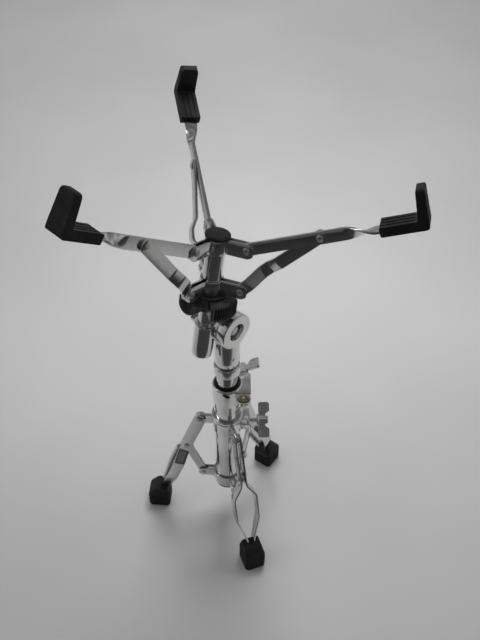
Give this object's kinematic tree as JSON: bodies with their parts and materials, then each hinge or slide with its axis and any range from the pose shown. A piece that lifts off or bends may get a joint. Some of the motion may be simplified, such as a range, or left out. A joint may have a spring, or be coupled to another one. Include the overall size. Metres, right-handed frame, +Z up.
{
  "type": "snare drum stand",
  "caption": "Folding tripod stand with a telescoping mast, a tilter and a gripping basket of hinged arms that holds a snare drum.",
  "frame": {"origin": "on the floor, under the middle of the bounding box; the mast stands 21 mm towards -X and 40 mm towards -Y from it", "axes": "+Z up along the mast; -Y is the front, where one leg points; the leg wing screw points to +X, and the height wing bolt to +Y on the +X side"},
  "size_m": [0.3008, 0.3026, 0.5399],
  "materials": {
    "chrome": "bright chrome plate",
    "steel": "bright zinc or nickel plate",
    "rubber": "matt black moulded rubber",
    "black_plastic": "black moulded plastic, low sheen",
    "black_knob": "black moulded plastic with fine ribs",
    "nylon": "black nylon bushing",
    "brass": "turned brass"
  },
  "bodies": {
    "stand_base": {"base_tube": "chrome", "tube_end_plug": "black_plastic", "lower_collar": "chrome", "height_clamp": "chrome", "mast_bushing": "nylon", "clamp_jaw_front": "brass", "clamp_jaw_rear": "brass", "stay_rivet_front": "steel", "stay_rivet_back": "steel", "stay_rivet_left": "steel"},
    "leg_slider": {"leg_collar": "chrome"},
    "leg_screw": {"leg_wing_screw": "chrome"},
    "front_leg": {"leg_front_bar_a": "chrome", "leg_front_bar_b": "chrome", "leg_front_top_rivet": "steel", "leg_front_mid_rivet": "steel", "foot_front": "rubber"},
    "front_stay": {"stay_front": "chrome"},
    "back_leg": {"leg_back_bar_a": "chrome", "leg_back_bar_b": "chrome", "leg_back_top_rivet": "steel", "leg_back_mid_rivet": "steel", "foot_back": "rubber"},
    "back_stay": {"stay_back": "chrome"},
    "left_leg": {"leg_left_bar_a": "chrome", "leg_left_bar_b": "chrome", "leg_left_top_rivet": "steel", "leg_left_mid_rivet": "steel", "foot_left": "rubber"},
    "left_stay": {"stay_left": "chrome"},
    "height_bolt": {"height_wing_bolt": "chrome"},
    "height_lock": {"memory_ring": "chrome"},
    "mast": {"mast_tube": "chrome", "tilter_head": "chrome", "tilter_bolt": "steel"},
    "tilter_nut": {"tilter_wing_nut": "chrome"},
    "basket": {"tilter_arm": "chrome", "sleeve_set_screw": "steel", "basket_rod": "chrome", "basket_tube": "chrome", "basket_cap": "black_plastic", "top_bracket": "chrome"},
    "nut_washer": {"basket_washer": "black_plastic"},
    "grip_nut": {"basket_nut": "black_knob"},
    "slider": {"slider_bracket": "chrome"},
    "left_arm": {"arm_left": "chrome", "grip_left": "rubber"},
    "left_brace": {"brace_left": "chrome", "brace_left_rivet": "steel"},
    "right_arm": {"arm_right": "chrome", "grip_right": "rubber"},
    "right_brace": {"brace_right": "chrome", "brace_right_rivet": "steel"},
    "rear_arm": {"arm_rear": "chrome", "grip_rear": "rubber"},
    "rear_brace": {"brace_rear": "chrome", "brace_rear_rivet": "steel"}
  },
  "joints": [
    {"name": "leg_collar_slide", "type": "slide", "parent": "stand_base", "child": "leg_slider", "axis": [0, 0, 1], "range_m": [-0.02433, 0]},
    {"name": "front_leg_hinge", "type": "hinge", "parent": "leg_slider", "child": "front_leg", "pos_m": [-0.01314, -0.06651, 0.164], "axis": [-0.9438, -0.3305, 0], "range_deg": [-0.4, 25.94]},
    {"name": "front_stay_hinge", "type": "hinge", "parent": "stand_base", "child": "front_stay", "pos_m": [-0.01363, -0.0651, 0.066], "axis": [0.9438, 0.3305, 0], "range_deg": [-0.4, 25.08]},
    {"name": "back_leg_hinge", "type": "hinge", "parent": "leg_slider", "child": "back_leg", "pos_m": [-0.00491, -0.0143, 0.164], "axis": [0.7965, -0.6046, 0], "range_deg": [-0.4, 25.94]},
    {"name": "back_stay_hinge", "type": "hinge", "parent": "stand_base", "child": "back_stay", "pos_m": [-0.00582, -0.0155, 0.066], "axis": [-0.7965, 0.6046, 0], "range_deg": [-0.4, 25.08]},
    {"name": "left_leg_hinge", "type": "hinge", "parent": "leg_slider", "child": "left_leg", "pos_m": [-0.05292, -0.03538, 0.164], "axis": [0.0941, 0.9956, 0], "range_deg": [-0.4, 25.94]},
    {"name": "left_stay_hinge", "type": "hinge", "parent": "stand_base", "child": "left_stay", "pos_m": [-0.05142, -0.03552, 0.066], "axis": [-0.0941, -0.9956, 0], "range_deg": [-0.4, 25.08]},
    {"name": "leg_screw_turn", "type": "hinge", "parent": "leg_slider", "child": "leg_screw", "pos_m": [-0.02305, -0.0402, 0.1655], "axis": [1, 0, 0], "range_deg": [-180, 180]},
    {"name": "height_bolt_turn", "type": "hinge", "parent": "stand_base", "child": "height_bolt", "pos_m": [-0.00585, -0.0382, 0.2165], "axis": [0, 1, 0], "range_deg": [-180, 180]},
    {"name": "mast_slide", "type": "slide", "parent": "stand_base", "child": "height_lock", "axis": [0, 0, 1], "range_m": [-0.0173, 0.11]},
    {"name": "mast_swivel", "type": "hinge", "parent": "height_lock", "child": "mast", "pos_m": [-0.02305, -0.0382, 0.2515], "axis": [0, 0, 1], "range_deg": [-180, 180]},
    {"name": "tilter_nut_turn", "type": "hinge", "parent": "mast", "child": "tilter_nut", "pos_m": [-0.02305, -0.0382, 0.3118], "axis": [0.7193, -0.6947, 0], "range_deg": [-180, 180]},
    {"name": "basket_tilt", "type": "hinge", "parent": "mast", "child": "basket", "pos_m": [-0.02305, -0.0382, 0.3118], "axis": [0.7193, -0.6947, 0], "range_deg": [-45, 6]},
    {"name": "nut_washer_slide", "type": "slide", "parent": "basket", "child": "nut_washer", "axis": [0.129, 0.1336, 0.9826], "range_m": [-0.0055, 0]},
    {"name": "basket_nut_turn", "type": "hinge", "parent": "nut_washer", "child": "grip_nut", "pos_m": [-0.04451, -0.04301, 0.3118], "axis": [0.129, 0.1336, 0.9826], "range_deg": [-670, 10]},
    {"name": "left_arm_hinge", "type": "hinge", "parent": "basket", "child": "left_arm", "pos_m": [-0.05126, -0.04907, 0.41579], "axis": [-0.7037, 0.7105, -0.0042], "range_deg": [0, 26]},
    {"name": "right_arm_hinge", "type": "hinge", "parent": "basket", "child": "right_arm", "pos_m": [-0.00452, -0.0372, 0.40804], "axis": [-0.2533, -0.9536, 0.1629], "range_deg": [-0.4, 26.4]},
    {"name": "rear_arm_hinge", "type": "hinge", "parent": "basket", "child": "rear_arm", "pos_m": [-0.03889, -0.00249, 0.40783], "axis": [0.9569, 0.2431, -0.1586], "range_deg": [-0.4, 26.4]},
    {"name": "left_brace_hinge", "type": "hinge", "parent": "left_arm", "child": "left_brace", "pos_m": [-0.09084, -0.08803, 0.45673], "axis": [-0.7037, 0.7105, -0.0042], "range_deg": [-12.85, 0.4]},
    {"name": "right_brace_hinge", "type": "hinge", "parent": "right_arm", "child": "right_brace", "pos_m": [0.05895, -0.04998, 0.4319], "axis": [-0.2533, -0.9536, 0.1629], "range_deg": [-12.85, 0.4]},
    {"name": "rear_brace_hinge", "type": "hinge", "parent": "rear_arm", "child": "rear_brace", "pos_m": [-0.05119, 0.06124, 0.43124], "axis": [0.9569, 0.2431, -0.1586], "range_deg": [-12.85, 0.4]},
    {"name": "basket_slider_slide", "type": "slide", "parent": "basket", "child": "slider", "axis": [0.129, 0.1336, 0.9826], "range_m": [-0.0003, 0.01206]}
  ],
  "couplings": [
    {"joint": "front_leg_hinge", "follows": "leg_collar_slide", "rad_per_m": -18.319},
    {"joint": "front_stay_hinge", "follows": "leg_collar_slide", "rad_per_m": -17.702},
    {"joint": "back_leg_hinge", "follows": "leg_collar_slide", "rad_per_m": -18.319},
    {"joint": "back_stay_hinge", "follows": "leg_collar_slide", "rad_per_m": -17.702},
    {"joint": "left_leg_hinge", "follows": "leg_collar_slide", "rad_per_m": -18.319},
    {"joint": "left_stay_hinge", "follows": "leg_collar_slide", "rad_per_m": -17.702},
    {"joint": "basket_nut_turn", "follows": "nut_washer_slide", "rad_per_m": 2094.4},
    {"joint": "right_arm_hinge", "follows": "left_arm_hinge", "ratio": 1},
    {"joint": "rear_arm_hinge", "follows": "left_arm_hinge", "ratio": 1},
    {"joint": "left_brace_hinge", "follows": "left_arm_hinge", "ratio": -0.47865},
    {"joint": "right_brace_hinge", "follows": "left_arm_hinge", "ratio": -0.47865},
    {"joint": "rear_brace_hinge", "follows": "left_arm_hinge", "ratio": -0.47865},
    {"joint": "basket_slider_slide", "follows": "left_arm_hinge", "m_per_rad": 0.025905}
  ]
}
